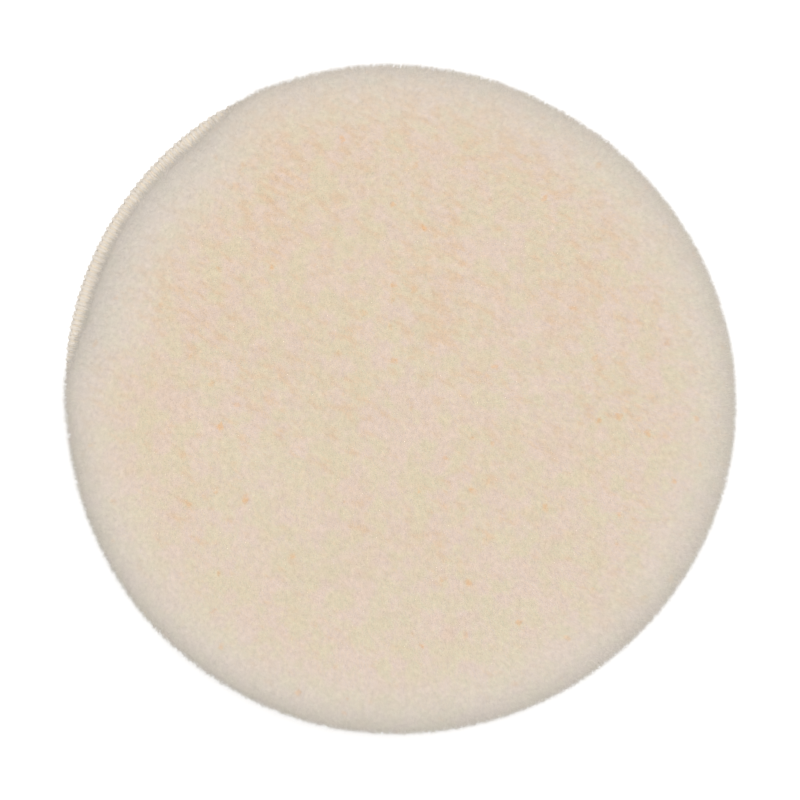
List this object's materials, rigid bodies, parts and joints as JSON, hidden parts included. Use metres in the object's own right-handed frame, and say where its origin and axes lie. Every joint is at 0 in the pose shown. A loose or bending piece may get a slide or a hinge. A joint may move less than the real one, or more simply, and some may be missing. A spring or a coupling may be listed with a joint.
{
  "type": "polishing pad",
  "caption": "Round natural lambswool polishing pad with a hook-and-loop back and an overlock-sewn rim, for a machine's backing plate.",
  "frame": {"origin": "middle of the loop face, which the pad lies on, at the centre of the bounding box's underside", "axes": "+Z along the pad's axis, out of the wool face; +X to the right and +Y up as the wool face is looked at from above"},
  "size_m": [0.13, 0.13, 0.0193],
  "materials": {
    "wool": "dense natural cream lambswool, sheared, warmer between the locks",
    "hide": "tanned lambskin, matt",
    "film": "hot-melt adhesive film",
    "loop_ground": "knitted polyamide ground, off-white",
    "loop_yarn": "brushed polyamide loops, off-white",
    "thread": "twisted polyester sewing thread, cream"
  },
  "bodies": {
    "root": {"loop_pile": "loop_yarn", "loop_ground_cloth": "loop_ground", "bonding_film": "film", "lambskin_hide": "hide", "wool_pile": "wool", "overlock_needle_thread": "thread", "overlock_upper_looper_thread": "thread", "overlock_lower_looper_thread": "thread"}
  },
  "joints": []
}
